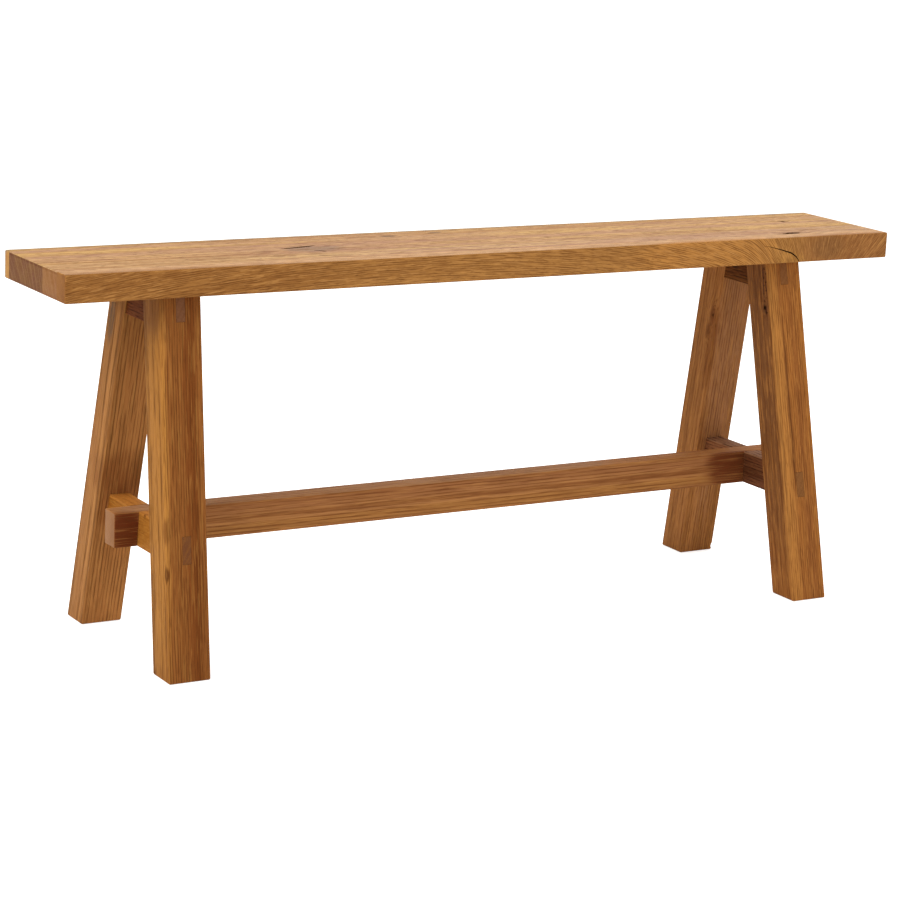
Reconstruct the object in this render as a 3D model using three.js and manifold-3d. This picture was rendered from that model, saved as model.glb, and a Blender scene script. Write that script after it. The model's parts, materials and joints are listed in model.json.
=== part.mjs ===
// Oak trestle bench: a thick seat glued up from boards, on two A-shaped trestles tied by one long stretcher.
// Millimetres. +X runs along the seat, +Y towards the back and +Z up.
// The origin is on the floor, under the middle of the seat.
import * as THREE from "three";
import { mergeVertices } from "three/addons/utils/BufferGeometryUtils.js";
import Module from "manifold-3d";

const wasm = await Module();
wasm.setup();

// Seat: four boards side by side, front to back. The wide board takes what the other three leave.
const seatHeight = 467;
const seatLength = 1150;
const seatDepth = 180;
const seatThickness = 33;
const seatRounding = 2;
const frontStripWidth = 24;
const narrowBoardWidth = 41;
const backStripWidth = 14;

// Trestles: two legs each, leaning together towards the seat. The gaps are between the legs' inner faces.
// The seat overhangs each trestle, and each trestle leans a little, with its feet further out than its top.
const seatOverhang = 124;
const footOutset = 17;
const legGapAtFloor = 209;
const legGapAtSeat = 40;
const legWidth = 52;
const legThickness = 45;
const legRounding = 2;
const soleChamfer = 1.5;

// Rails: a short upper rail under the seat and a lower rail that carries the stretcher.
const upperRailThickness = 48;
const upperRailHeight = 38;
const lowerRailThickness = 25;
const lowerRailHeight = 42;
const lowerRailTop = 169;
const railRounding = 1.2;
const tenonThickness = 11;
const tenonHeight = 31;

// Stretcher: as deep as the lower rails, half-lapped over them and running on past them.
const stretcherThickness = 28;
const stretcherPastRail = 30;
const stretcherRounding = 1.5;
const lapDepthShare = 0.5;

// Seat fastenings: a bolt and washer up through the upper rail, into a threaded insert in the wide board.
// Rims and walls are radial, outside the bolt or its hole.
const boltFromLeg = 10;
const boltDiameter = 6;
const boltIntoSeat = 15.4;
const boltHeadRim = 2.25;
const boltHeadHeight = 3.3;
const boltHeadEdge = 0.8;
const boltHeadFlatRadius = 2.8;
const boltSocketAcrossFlats = 4;
const boltSocketDepth = 2;
const washerRim = 2.7;
const washerThickness = 1.6;
const counterboreClearance = 1;
const counterboreDepth = 10;
const insertWall = 1.7;
const insertLength = 15;
const insertThreadPitch = 2.5;
const insertThreadDepth = 0.8;
const insertHoleSpare = 3;

// Lap screws: one countersunk screw up through each lap joint, with some oak left over its tip.
const screwDiameter = 4;
const screwTopCover = 7.5;
const screwHeadRim = 2;
const screwTipLength = 5;
const screwTipRadius = 0.4;
const screwSunk = 0.5;
const screwCrossWidth = 1.2;
const screwCrossLength = 4.4;
const screwCrossDepth = 1.4;

// Gap round a piece that fills a cut in its neighbour, and how far a cutting shape runs past its piece.
const jointGap = 0.3;
const cutOverrun = 8;

// Counts of flat steps on round shapes.
const cornerSteps = 3;
const roundSides = 24;
const socketSides = 6;

// Worked out from the sizes above.
const seatUnderside = seatHeight - seatThickness;
const trestleSpacing = seatLength - 2 * seatOverhang - legWidth;
const trestleSlope = footOutset / seatUnderside;
const legSlope = (legGapAtFloor - legGapAtSeat) / 2 / seatUnderside;
const legDepthLevel = legThickness * Math.hypot(1, legSlope);
const footCentre = (legGapAtFloor + legDepthLevel) / 2;
const beyondFeet = legGapAtFloor + legThickness;
const lapDepth = lowerRailHeight * lapDepthShare;
const lapHeight = lowerRailTop - lapDepth;
const lapOutset = trestleSlope * (seatUnderside - lapHeight);
const lowerRailUnderside = lowerRailTop - lowerRailHeight;
const upperRailUnderside = seatUnderside - upperRailHeight;
const stretcherLength = trestleSpacing + 2 * lapOutset + lowerRailThickness + 2 * stretcherPastRail;
const wideBoardWidth = seatDepth - frontStripWidth - narrowBoardWidth - backStripWidth;
const boltFromMiddle = legGapAtSeat / 2 - boltFromLeg;
const boltRadius = boltDiameter / 2;
const boltHoleRadius = boltRadius + jointGap;
const boltBearing = upperRailUnderside + counterboreDepth - washerThickness;
const washerRadius = boltHoleRadius + washerRim;
const counterboreRadius = washerRadius + counterboreClearance;
const insertRadius = boltHoleRadius + insertWall;
const insertHoleRadius = insertRadius + jointGap;
const insertHoleDepth = Math.max(jointGap + insertLength, boltIntoSeat) + insertHoleSpare;
const screwRadius = screwDiameter / 2;
const screwHeadRadius = screwRadius + screwHeadRim;
const screwLength = lowerRailHeight - screwSunk - screwTopCover;

// Oak tones: the seat boards differ, the trestles are redder and the stretcher is the darkest.
const tones = {
  frontStrip: "#b98a56",
  narrowBoard: "#c08f5c",
  wideBoard: "#b08152",
  backStrip: "#bb8d58",
  leg: "#9c6a3a",
  rail: "#a06c34",
  stretcher: "#8a5430",
};
const steelFinish = { color: "#b9bcc0", roughness: 0.3, metalness: 1 };
const brassFinish = { color: "#c9a352", roughness: 0.35, metalness: 1 };
const oiledOak = { roughness: 0.5, metalness: 0 };

// Places of the legs, the bolts and the lap screws.
const sides = [
  ["left", -1],
  ["right", 1],
];
const depths = [
  ["front", -1],
  ["back", 1],
];
const boltPlaces = sides.flatMap(([side, sx]) =>
  depths.map(([depth, sy]) => ({
    name: `${side}_${depth}`,
    x: (sx * trestleSpacing) / 2,
    y: sy * boltFromMiddle,
  })),
);

function axis(name) {
  const direction = new THREE.Vector3();
  direction[name] = 1;
  return direction;
}

// A basis that lays a shape's own x, y and depth along three directions, from a place on the floor.
function basisOf(across, along, deep, x = 0, y = 0) {
  return new THREE.Matrix4().makeBasis(across, along, deep).setPosition(x, y, 0);
}

const alongX = basisOf(axis("y"), axis("z"), axis("x"));
const alongY = basisOf(axis("z"), axis("x"), axis("y"));
const alongZ = basisOf(axis("x"), axis("y"), axis("z"));

// Bases in line with a trestle's lean, drawn for the right-hand one. Its top is over the origin.
const trestleUp = new THREE.Vector3(-trestleSlope, 0, 1);
const upTrestle = basisOf(axis("x"), axis("y"), trestleUp, footOutset);
const acrossTrestle = basisOf(trestleUp, axis("x"), axis("y"), footOutset);

// A closed three.js geometry as a solid that can be cut and joined.
function solid(geometry) {
  const bare = geometry.clone();
  bare.deleteAttribute("normal");
  bare.deleteAttribute("uv");
  const merged = mergeVertices(bare);
  return new wasm.Manifold(
    new wasm.Mesh({
      numProp: 3,
      vertProperties: new Float32Array(merged.attributes.position.array),
      triVerts: new Uint32Array(merged.index.array),
    }),
  );
}

// A solid back as a three.js geometry with flat facets.
function geometryOf(body) {
  const mesh = body.getMesh();
  const geometry = new THREE.BufferGeometry();
  geometry.setAttribute("position", new THREE.BufferAttribute(new Float32Array(mesh.vertProperties), 3));
  geometry.setIndex(new THREE.BufferAttribute(new Uint32Array(mesh.triVerts), 1));
  const faceted = geometry.toNonIndexed();
  faceted.computeVertexNormals();
  return faceted;
}

// An outline swept from one place to another along the depth of a basis.
function swept(outline, basis, from, to) {
  const geometry = new THREE.ExtrudeGeometry(outline, {
    depth: to - from,
    bevelEnabled: false,
    curveSegments: cornerSteps,
  });
  geometry.translate(0, 0, from);
  geometry.applyMatrix4(basis);
  return solid(geometry);
}

// A rectangle from corner to corner, with its corners rounded where a radius is given.
function rectangle(x0, y0, x1, y1, radius = 0) {
  const outline = new THREE.Shape();
  const r = Math.min(radius, (x1 - x0) / 2, (y1 - y0) / 2);
  if (r === 0) {
    outline.moveTo(x0, y0);
    outline.lineTo(x1, y0);
    outline.lineTo(x1, y1);
    outline.lineTo(x0, y1);
    outline.closePath();
    return outline;
  }
  outline.moveTo(x0 + r, y0);
  outline.lineTo(x1 - r, y0);
  outline.absarc(x1 - r, y0 + r, r, -Math.PI / 2, 0);
  outline.lineTo(x1, y1 - r);
  outline.absarc(x1 - r, y1 - r, r, 0, Math.PI / 2);
  outline.lineTo(x0 + r, y1);
  outline.absarc(x0 + r, y1 - r, r, Math.PI / 2, Math.PI);
  outline.lineTo(x0, y0 + r);
  outline.absarc(x0 + r, y0 + r, r, Math.PI, 1.5 * Math.PI);
  return outline;
}

// The same, centred on its own x and y.
const middled = (width, depth, radius) => rectangle(-width / 2, -depth / 2, width / 2, depth / 2, radius);

function polygon(points) {
  return new THREE.Shape(points.map(([x, y]) => new THREE.Vector2(x, y)));
}

// A block with all twelve edges rounded, centred on x and y.
function roundedBlock(width, depth, z0, z1, radius) {
  const ends = swept(rectangle(-depth / 2, z0, depth / 2, z1, radius), alongX, -width / 2, width / 2);
  const sides = swept(rectangle(z0, -width / 2, z1, width / 2, radius), alongY, -depth / 2, depth / 2);
  return ends.intersect(sides).intersect(swept(middled(width, depth, radius), alongZ, z0, z1));
}

// A round solid about an upright axis, from the radius and height of each corner of its profile.
function turned(profile, x = 0, y = 0) {
  const points = profile.map(([radius, height]) => new THREE.Vector2(radius, height));
  return solid(new THREE.LatheGeometry(points, roundSides).rotateX(Math.PI / 2).translate(x, y, 0));
}

function rod(radius, z0, z1, x, y) {
  return turned(
    [
      [0, z0],
      [radius, z0],
      [radius, z1],
      [0, z1],
    ],
    x,
    y,
  );
}

function part(name, body, finish) {
  const mesh = new THREE.Mesh(geometryOf(body), new THREE.MeshStandardMaterial(finish));
  mesh.name = name;
  return mesh;
}

const oak = (name, body, color) => part(name, body, { color, ...oiledOak });

// Seat. The whole slab has its outer edges rounded, and each board is a lengthwise slice of it.
// Heights here are counted from the seat's underside.
function seat() {
  const group = new THREE.Group();
  const slab = roundedBlock(seatLength, seatDepth, 0, seatThickness, seatRounding);
  const holes = boltPlaces.map(({ x, y }) => rod(insertHoleRadius, -cutOverrun, insertHoleDepth, x, y));
  const boards = [
    ["seat_strip_front", frontStripWidth, tones.frontStrip],
    ["seat_board_narrow", narrowBoardWidth, tones.narrowBoard],
    ["seat_board_wide", wideBoardWidth, tones.wideBoard],
    ["seat_strip_back", backStripWidth, tones.backStrip],
  ];
  let front = -seatDepth / 2;
  for (const [name, width, tone] of boards) {
    const slice = rectangle(front, -cutOverrun, front + width, seatThickness + cutOverrun);
    let board = slab.intersect(swept(slice, alongX, -seatLength, seatLength));
    for (const hole of holes) board = board.subtract(hole);
    group.add(oak(name, board, tone));
    front += width;
  }
  group.position.z = seatUnderside;
  return group;
}

// Outline of a trestle's side from floor to seat: the gap between its legs, widened on each side.
function trestleOutline(widening) {
  const floor = legGapAtFloor / 2 + widening;
  const top = legGapAtSeat / 2 + widening;
  return polygon([
    [-floor, 0],
    [floor, 0],
    [top, seatUnderside],
    [-top, seatUnderside],
  ]);
}

// Outline of a leg up its own slope, as height and place across, with a chamfer round the sole.
function legOutline(width) {
  return polygon([
    [0, soleChamfer - width / 2],
    [soleChamfer, -width / 2],
    [seatUnderside, -width / 2],
    [seatUnderside, width / 2],
    [soleChamfer, width / 2],
    [0, width / 2 - soleChamfer],
  ]);
}

// One leg, leaning inwards with its trestle and towards the other leg. Its top and sole are level.
function leg(sy) {
  const up = new THREE.Vector3(-trestleSlope, -sy * legSlope, 1);
  const place = [footOutset, sy * footCentre];
  const upLeg = basisOf(axis("x"), axis("y"), up, ...place);
  const acrossLeg = basisOf(up, axis("x"), axis("y"), ...place);
  const throughLeg = basisOf(up, axis("y"), axis("x").negate(), ...place);
  return swept(middled(legWidth, legDepthLevel, legRounding), upLeg, 0, seatUnderside)
    .intersect(swept(legOutline(legWidth), acrossLeg, -legThickness, legThickness))
    .intersect(swept(legOutline(legDepthLevel), throughLeg, -legWidth, legWidth));
}

// The tenon of a rail, grown by a gap, as the legs see it: a level bar right through the trestle.
function tenonBar(z0, z1, gap) {
  return swept(middled(tenonThickness + 2 * gap, 2 * beyondFeet), upTrestle, z0 - gap, z1 + gap);
}

// Heights of both rails' tenons. The upper one is open to the seat, the lower one is centred on its rail.
const upperTenonFrom = seatUnderside - tenonHeight;
const lowerTenonFrom = lowerRailUnderside + (lowerRailHeight - tenonHeight) / 2;
const lowerTenonTo = lowerTenonFrom + tenonHeight;

// A rail from leg to leg with a tenon at each end that comes through flush with the leg's outer face.
function rail(thickness, z0, z1, tenonFrom, tenonTo) {
  const between = swept(trestleOutline(-jointGap), alongX, -beyondFeet, beyondFeet);
  const overall = swept(trestleOutline(legDepthLevel), alongX, -beyondFeet, beyondFeet);
  const section = rectangle(z0, -thickness / 2, z1, thickness / 2, railRounding);
  const body = swept(section, acrossTrestle, -beyondFeet, beyondFeet).intersect(between);
  return body.add(tenonBar(tenonFrom, tenonTo, 0).intersect(overall));
}

// Upper rail, drilled for the seat bolts, with a counterbore for each head.
function upperRail() {
  let body = rail(upperRailThickness, upperRailUnderside, seatUnderside, upperTenonFrom, seatUnderside);
  const below = upperRailUnderside - cutOverrun;
  for (const [, sy] of depths) {
    const y = sy * boltFromMiddle;
    body = body
      .subtract(rod(boltHoleRadius, below, seatUnderside + cutOverrun, 0, y))
      .subtract(rod(counterboreRadius, below, upperRailUnderside + counterboreDepth, 0, y));
  }
  return body;
}

// The lap screw's hole, upwards from the underside of the lap joint.
function screwHole(x) {
  const headRadius = screwHeadRadius + jointGap;
  const shankRadius = screwRadius + jointGap;
  const headFrom = lowerRailUnderside + screwSunk;
  const top = headFrom + screwLength + jointGap;
  return turned(
    [
      [0, lowerRailUnderside - cutOverrun],
      [headRadius, lowerRailUnderside - cutOverrun],
      [headRadius, headFrom],
      [shankRadius, headFrom + headRadius - shankRadius],
      [shankRadius, top],
      [0, top],
    ],
    x,
  );
}

// Lower rail, with its upper half cut away where the stretcher crosses.
function lowerRail() {
  const body = rail(lowerRailThickness, lowerRailUnderside, lowerRailTop, lowerTenonFrom, lowerTenonTo);
  const lap = middled(2 * lowerRailThickness, stretcherThickness + 2 * jointGap);
  return body
    .subtract(swept(lap, upTrestle, lapHeight, lowerRailTop + cutOverrun))
    .subtract(screwHole(lapOutset));
}

// Long stretcher, with its lower half cut away over each lower rail, along the slope of the rail's sides.
function stretcher() {
  let body = roundedBlock(
    stretcherLength,
    stretcherThickness,
    lowerRailUnderside,
    lowerRailTop,
    stretcherRounding,
  );
  const lap = middled(lowerRailThickness + 2 * jointGap, 2 * stretcherThickness);
  for (const [, sx] of sides) {
    const up = new THREE.Vector3(-sx * trestleSlope, 0, 1);
    const upRail = basisOf(axis("x"), axis("y"), up, sx * (trestleSpacing / 2 + footOutset));
    body = body
      .subtract(swept(lap, upRail, lowerRailUnderside - cutOverrun, lapHeight))
      .subtract(screwHole(sx * (trestleSpacing / 2 + lapOutset)));
  }
  return body;
}

// Button-head bolt, head down, from its bearing face upwards, with a hexagon socket in the head.
function bolt() {
  const headRadius = boltRadius + boltHeadRim;
  const tip = seatUnderside + boltIntoSeat - boltBearing;
  const crown = Array.from({ length: cornerSteps + 1 }, (_, i) => {
    const angle = (Math.PI / 2) * (1 - i / cornerSteps);
    return [
      boltHeadFlatRadius + (headRadius - boltHeadFlatRadius) * Math.cos(angle),
      -boltHeadEdge - (boltHeadHeight - boltHeadEdge) * Math.sin(angle),
    ];
  });
  const body = turned([
    [0, -boltHeadHeight],
    ...crown,
    [headRadius, 0],
    [boltRadius, 0],
    [boltRadius, tip],
    [0, tip],
  ]);
  const socketRadius = boltSocketAcrossFlats / 2 / Math.cos(Math.PI / socketSides);
  const corners = Array.from({ length: socketSides }, (_, i) => {
    const angle = (2 * Math.PI * i) / socketSides;
    return [socketRadius * Math.cos(angle), socketRadius * Math.sin(angle)];
  });
  const socketEnd = boltSocketDepth - boltHeadHeight;
  return body.subtract(swept(polygon(corners), alongZ, -boltHeadHeight - cutOverrun, socketEnd));
}

function washer() {
  const hole = rod(boltHoleRadius, -cutOverrun, washerThickness + cutOverrun);
  return rod(washerRadius, 0, washerThickness).subtract(hole);
}

// Threaded insert: a sleeve with coarse ridges that bite into the oak.
function insert() {
  const root = insertRadius - insertThreadDepth;
  const ridges = Math.max(1, Math.floor(insertLength / insertThreadPitch));
  const pitch = insertLength / ridges;
  const profile = [[0, 0]];
  for (let i = 0; i < ridges; i += 1) {
    profile.push([root, i * pitch], [insertRadius, (i + 1 / 2) * pitch]);
  }
  profile.push([root, insertLength], [0, insertLength]);
  return turned(profile).subtract(rod(boltHoleRadius, -cutOverrun, insertLength + cutOverrun));
}

// Countersunk wood screw, head down, with a cross recess.
function lapScrew() {
  const body = turned([
    [0, 0],
    [screwHeadRadius, 0],
    [screwRadius, screwHeadRim],
    [screwRadius, screwLength - screwTipLength],
    [screwTipRadius, screwLength],
    [0, screwLength],
  ]);
  const slot = swept(middled(screwCrossLength, screwCrossWidth), alongZ, -cutOverrun, screwCrossDepth);
  const cross = swept(middled(screwCrossWidth, screwCrossLength), alongZ, -cutOverrun, screwCrossDepth);
  return body.subtract(slot.add(cross));
}

// One trestle under its place on the seat. It is drawn for the right and turned half round for the left,
// which brings its front leg to the back.
function trestle(side, sx) {
  const group = new THREE.Group();
  const mortises = tenonBar(upperTenonFrom, seatUnderside + cutOverrun, jointGap).add(
    tenonBar(lowerTenonFrom, lowerTenonTo, jointGap),
  );
  for (const [depth, sy] of depths) {
    group.add(oak(`leg_${depth}_${side}`, leg(sx * sy).subtract(mortises), tones.leg));
  }
  group.add(oak(`upper_rail_${side}`, upperRail(), tones.rail));
  group.add(oak(`lower_rail_${side}`, lowerRail(), tones.rail));
  const screw = part(`lap_screw_${side}`, lapScrew(), steelFinish);
  screw.position.set(lapOutset, 0, lowerRailUnderside + screwSunk);
  group.add(screw);
  group.position.x = (sx * trestleSpacing) / 2;
  group.rotation.z = sx < 0 ? Math.PI : 0;
  return group;
}

// Bolt, washer and insert at one place. The washer lies between the bolt's head and the counterbore's end.
function seatFastening({ name, x, y }) {
  const group = new THREE.Group();
  const washerMesh = part(`seat_washer_${name}`, washer(), steelFinish);
  washerMesh.position.z = boltBearing;
  const boltMesh = part(`seat_bolt_${name}`, bolt(), steelFinish);
  boltMesh.position.z = boltBearing;
  const insertMesh = part(`seat_insert_${name}`, insert(), brassFinish);
  insertMesh.position.z = seatUnderside + jointGap;
  group.add(washerMesh, boltMesh, insertMesh);
  group.position.set(x, y, 0);
  return group;
}

const bench = new THREE.Group();
bench.add(seat());
for (const [side, sx] of sides) bench.add(trestle(side, sx));
bench.add(oak("stretcher", stretcher(), tones.stretcher));
for (const place of boltPlaces) bench.add(seatFastening(place));

export default bench;
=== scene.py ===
# %% [markdown]
# # A solid oak bench
# The bench has a thick seat glued up from four boards, on two A-shaped trestles. Each trestle has two nearly
# square legs, a short rail under the seat and a lower rail, and one long stretcher ties the lower rails together.
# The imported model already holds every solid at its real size. This lesson models each piece of wood again with
# eased edges, real joints and carved marks, gives it an oiled oak finish, and sets up the light and the camera.
# The bolts, washers, inserts and screws keep their solids and get metal finishes.

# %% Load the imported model
import json
import math
from functools import partial
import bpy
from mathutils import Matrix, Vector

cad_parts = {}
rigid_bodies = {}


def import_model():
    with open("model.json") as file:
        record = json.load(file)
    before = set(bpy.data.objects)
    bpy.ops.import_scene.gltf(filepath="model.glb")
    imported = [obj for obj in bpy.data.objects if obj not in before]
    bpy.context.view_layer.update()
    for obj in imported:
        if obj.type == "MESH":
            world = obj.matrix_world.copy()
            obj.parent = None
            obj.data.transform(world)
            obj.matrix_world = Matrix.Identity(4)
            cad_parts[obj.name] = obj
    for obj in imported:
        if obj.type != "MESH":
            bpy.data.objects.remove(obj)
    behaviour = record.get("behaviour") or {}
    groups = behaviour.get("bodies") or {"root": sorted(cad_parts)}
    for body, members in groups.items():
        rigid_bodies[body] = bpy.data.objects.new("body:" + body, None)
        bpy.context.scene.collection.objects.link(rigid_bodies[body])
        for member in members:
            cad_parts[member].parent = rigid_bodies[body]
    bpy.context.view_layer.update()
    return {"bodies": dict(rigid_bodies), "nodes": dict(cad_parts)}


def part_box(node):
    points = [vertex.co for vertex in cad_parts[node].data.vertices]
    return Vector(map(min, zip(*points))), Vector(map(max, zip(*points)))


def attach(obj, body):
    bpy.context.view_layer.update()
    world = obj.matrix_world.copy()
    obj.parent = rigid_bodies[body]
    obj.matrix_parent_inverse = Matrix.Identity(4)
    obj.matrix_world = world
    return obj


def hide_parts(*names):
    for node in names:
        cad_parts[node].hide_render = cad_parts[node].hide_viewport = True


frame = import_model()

from types import SimpleNamespace

import bmesh
import bpy
from mathutils import Matrix, Vector

bodies, nodes = frame["bodies"], frame["nodes"]

# %% [markdown]
# ## Camera
# The photograph was taken from the front left and a little above, with a long lens that was turned slightly
# about its own axis. The camera is placed from those angles. A camera looks along its own -Z with +Y up,
# so its matrix has the directions to the right, up and back as columns.

# %% Camera
MM = 0.001
CAMERA_PLACE = (-1.7374, -2.8783, 0.9898)  # metres
CAMERA_YAW, CAMERA_PITCH, CAMERA_ROLL = 0.53766, -0.23023, 0.04273  # radians
CAMERA_LENS = 110.62  # millimetres


def camera_matrix():
    yaw, pitch, roll = CAMERA_YAW, CAMERA_PITCH, CAMERA_ROLL
    right = Vector((math.cos(yaw), -math.sin(yaw), 0))
    ahead = Vector((math.sin(yaw) * math.cos(pitch), math.cos(yaw) * math.cos(pitch), math.sin(pitch)))
    up = right.cross(ahead)
    turned_right = math.cos(roll) * right + math.sin(roll) * up
    turned_up = math.cos(roll) * up - math.sin(roll) * right
    turned = Matrix((turned_right, turned_up, -ahead)).transposed().to_4x4()
    return Matrix.Translation(CAMERA_PLACE) @ turned


bpy.ops.object.camera_add()
camera = bpy.context.object
camera.name = "camera"
camera.matrix_world = camera_matrix()
camera.data.lens = CAMERA_LENS
bpy.context.scene.camera = camera
print("camera at", CAMERA_PLACE, "with a lens of", CAMERA_LENS, "mm")

# %% [markdown]
# ## Colours and nodes
# Colours are written as sRGB hex values, as a paint program shows them. The shader wants linear light, so one
# function converts them. A second one adds a node, sets what it is given, and links what comes from another
# node. A third empties the node tree of a material or world, and hands back the second, tied to that tree.


# %% Helpers for colours and nodes
def linear(hex_colour):
    channels = [int(hex_colour[i:i + 2], 16) / 255 for i in (1, 3, 5)]
    return tuple(c / 12.92 if c <= 0.04045 else ((c + 0.055) / 1.055) ** 2.4 for c in channels) + (1.0,)


def add_node(tree, kind, inputs=None, **settings):
    node = tree.nodes.new("ShaderNode" + kind)
    for name, value in settings.items():
        setattr(node, name, value)
    for key, value in (inputs or {}).items():
        usable = [s for s in node.inputs if s.enabled]
        socket = node.inputs[key] if isinstance(key, int) else next(s for s in usable if s.name == key)
        if isinstance(value, bpy.types.Node):
            value = next(s for s in value.outputs if s.enabled)
        if isinstance(value, bpy.types.NodeSocket):
            tree.links.new(value, socket)
        else:
            socket.default_value = value
    return node


def emptied(owner):
    owner.use_nodes = True
    owner.node_tree.nodes.clear()
    return partial(add_node, owner.node_tree)


print("honey oak in linear light", [round(c, 3) for c in linear("#a8723f")])

# %% [markdown]
# ## Floor, light and background
# The photograph shows the bench on pure white. A plain pale floor catches a faint shadow, and Light Path lets the
# camera and glossy rays see it as white without putting more light on the bench. The key light is large, so its
# shadows are soft, and it stands high on the left because the bench's left ends are brighter than its front. The
# front light lifts the front faces, and the top light, behind the bench, makes the seat the palest face.

# %% Floor
FLOOR_SIZE = 40.0
FLOOR_DROP = 0.0005
FLOOR_WHITE = "#f2f1ef"
SEEN_WHITE = 0.72
WHITE = (1, 1, 1, 1)


def is_seen(node):
    """1 for the rays that show the white itself, and 0 for those that light the bench with it."""
    rays = node("LightPath")
    seen = node("Math", {0: rays.outputs["Is Camera Ray"], 1: rays.outputs["Is Glossy Ray"]}, operation="MAXIMUM")
    return node("Math", {0: seen, 1: rays.outputs["Is Transmission Ray"]}, operation="MAXIMUM")


bpy.ops.object.select_all(action="DESELECT")
bpy.ops.mesh.primitive_plane_add(size=FLOOR_SIZE, location=(0, 0, -FLOOR_DROP))
floor = bpy.context.object
floor.name = "floor"
# Matt wall paint has no highlights, so all that the floor shows is the soft shadow of the bench.
floor_paint = bpy.data.materials.new("matt white floor")
node = emptied(floor_paint)
glow = node("Math", {0: is_seen(node), 1: SEEN_WHITE}, operation="MULTIPLY")
white_glow = node("Emission", {"Color": WHITE, "Strength": glow})
matt = node("BsdfDiffuse", {"Color": linear(FLOOR_WHITE)})
node("OutputMaterial", {"Surface": node("AddShader", {0: matt, 1: white_glow})})
floor.data.materials.append(floor_paint)
print("floor of", FLOOR_SIZE, "m")

# %% World and lamps
WORLD_LIGHT, WORLD_SEEN = 0.55, 1.0
AIM = Vector((0, 0, 0.3))
# The place and size of each lamp in metres, and its power in watts
LAMPS = {
    "key light": ((-2.5, -0.8, 2.8), 2.6, 84),
    "front light": ((0.8, -3.6, 1.1), 2.6, 26),
    "top light": ((1.5, 0.9, 2.5), 2.4, 44),
}

world = bpy.data.worlds.new("white studio")
bpy.context.scene.world = world
node = emptied(world)
strength = node("MapRange", {"Value": is_seen(node), "To Min": WORLD_LIGHT, "To Max": WORLD_SEEN})
node("OutputWorld", {"Surface": node("Background", {"Color": WHITE, "Strength": strength})})

for name, (place, size, power) in LAMPS.items():
    bpy.ops.object.light_add(type="AREA", location=place)
    lamp = bpy.context.object
    lamp.name = name
    lamp.data.size = size
    lamp.data.energy = power
    lamp.rotation_euler = (AIM - Vector(place)).to_track_quat("-Z", "Y").to_euler()
bpy.context.scene.view_settings.view_transform = "Standard"

# %% [markdown]
# ## Sizes
# Only the legs' own sizes are typed, because the box of a leaning bar doesn't show them. The trestles lean:
# their feet stand further out along the bench than their tops, and the two legs of each one lean together.
# Both leans are straight lines, so a place at any height follows from the foot and the top.

# %% Sizes read from the solids, in millimetres
def box_mm(node_name):
    low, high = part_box(node_name)
    return low / MM, high / MM


seat_low, seat_high = box_mm("seat_board_wide")
SEAT_UNDERSIDE, SEAT_TOP = seat_low.z, seat_high.z
SEAT_HALF_LENGTH = seat_high.x
SEAM_BOARDS = ("seat_strip_front", "seat_board_narrow", "seat_board_wide")
SEAT_SEAMS = [round(box_mm(name)[1].y, 3) for name in SEAM_BOARDS]
SEAT_FRONT, SEAT_BACK = box_mm("seat_strip_front")[0].y, box_mm("seat_strip_back")[1].y
rail_low, rail_high = box_mm("lower_rail_right")
LOWER_RAIL_BOTTOM, LOWER_RAIL_TOP = rail_low.z, rail_high.z
UPPER_RAIL_BOTTOM = box_mm("upper_rail_right")[0].z
STRETCHER_END = box_mm("stretcher")[1].x
STRETCHER_HALF = box_mm("stretcher")[1].y
print("seat from", SEAT_UNDERSIDE, "to", SEAT_TOP, "seams at", SEAT_SEAMS)

# %% Sizes of the leaning legs, in millimetres
LEG_WIDTH, LEG_THICKNESS = 52.0, 45.0
TRESTLE_TOP_X, TRESTLE_FOOT_X = 425.0, 442.0
LEG_GAP_FLOOR, LEG_GAP_SEAT = 104.5, 20.0
LEG_SLOPE = (LEG_GAP_FLOOR - LEG_GAP_SEAT) / SEAT_UNDERSIDE
LEG_DEPTH = LEG_THICKNESS * math.hypot(1, LEG_SLOPE)
TRESTLE_SLOPE = (TRESTLE_FOOT_X - TRESTLE_TOP_X) / SEAT_UNDERSIDE
FIT_GAP = 0.3


def trestle_x(side, height):
    return side * (TRESTLE_FOOT_X - TRESTLE_SLOPE * height)


leans = [round(math.degrees(math.atan(slope)), 2) for slope in (LEG_SLOPE, TRESTLE_SLOPE)]
print("legs lean together by", leans[0], "degrees and trestles lean by", leans[1])

# %% [markdown]
# ## Tools of the bench maker
# Each piece starts as a cube at its size and place. In edit mode, one face or a set of edges is picked by its
# place, and then moved, bevelled or cut. Joints are cut with the Boolean modifier, which is applied at once, so
# that every finished piece is one plain closed mesh. An operator works on all that is selected, so each tool
# first selects only its own piece.

# %% Blocks, round bars and copies
ROUND_SIDES = 48
# How far a cutting tool reaches past the wood, in millimetres
BEYOND = 8.0


def only(piece):
    if bpy.context.object and bpy.context.object.mode != "OBJECT":
        bpy.ops.object.mode_set(mode="OBJECT")
    bpy.ops.object.select_all(action="DESELECT")
    piece.select_set(True)
    bpy.context.view_layer.objects.active = piece


def settle(piece, name):
    piece.name = piece.data.name = name
    only(piece)
    bpy.ops.object.transform_apply(location=True, rotation=True, scale=True)
    return piece


def block(name, low, high):
    low, high = Vector(low) * MM, Vector(high) * MM
    bpy.ops.object.select_all(action="DESELECT")
    bpy.ops.mesh.primitive_cube_add(size=1, location=(low + high) / 2)
    bpy.context.object.scale = high - low
    return settle(bpy.context.object, name)


def round_bar(radius, bottom, top, x, y):
    bpy.ops.object.select_all(action="DESELECT")
    bpy.ops.mesh.primitive_cylinder_add(vertices=ROUND_SIDES, radius=radius * MM, depth=(top - bottom) * MM,
                                        location=Vector((x, y, (bottom + top) / 2)) * MM)
    return settle(bpy.context.object, "round bar")


def copied(piece, name):
    only(piece)
    bpy.ops.object.duplicate()
    return settle(bpy.context.object, name)


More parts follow.
